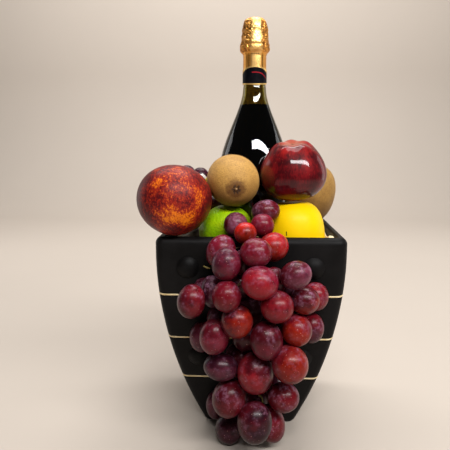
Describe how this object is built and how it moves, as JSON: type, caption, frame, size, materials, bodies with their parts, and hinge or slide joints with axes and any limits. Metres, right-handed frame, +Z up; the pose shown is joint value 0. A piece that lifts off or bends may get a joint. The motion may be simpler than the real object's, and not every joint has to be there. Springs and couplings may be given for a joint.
{
  "type": "fruit arrangement with wine",
  "caption": "Tall square tapering pot filled with mixed fruit round a foil-capped wine bottle, with a long bunch of red grapes hanging down its front.",
  "frame": {"origin": "middle of the pot's underside, on the surface it stands on", "axes": "+Z up along the bottle, -Y to the front where the grapes hang, +X to the right seen from the front"},
  "size_m": [0.2056, 0.2478, 0.4285],
  "materials": {
    "pot_black": "matte",
    "line_cream": "satin",
    "bottle_green_glass": "polished",
    "wine_dark": "gloss",
    "gold_foil": "gold foil, gloss",
    "label_black": "satin",
    "nectarine": "soft satin",
    "kiwifruit_front": "short fuzz",
    "kiwifruit_back": "short fuzz",
    "green_citrus": "satin, dimpled",
    "red_pome": "gloss",
    "yellow_pome": "satin",
    "cream_paper": "matte, crumpled",
    "grape_red": "satin with bloom",
    "grape_dark": "satin with bloom"
  },
  "bodies": {
    "root": {"pot": "pot_black", "line_upper": "line_cream", "line_middle": "line_cream", "line_lower": "line_cream", "stud_upper_left": "pot_black", "stud_upper_right": "pot_black", "stud_lower_left": "pot_black", "stud_lower_right": "pot_black", "bottle_glass": "bottle_green_glass", "wine": "wine_dark", "bottle_foil": "gold_foil", "neck_label": "label_black", "nectarine": "nectarine", "kiwifruit_front": "kiwifruit_front", "kiwifruit_back": "kiwifruit_back", "green_citrus": "green_citrus", "red_pome": "red_pome", "yellow_pome": "yellow_pome", "paper_filling": "cream_paper", "front_grapes": "grape_red", "back_grapes": "grape_dark"}
  },
  "joints": []
}
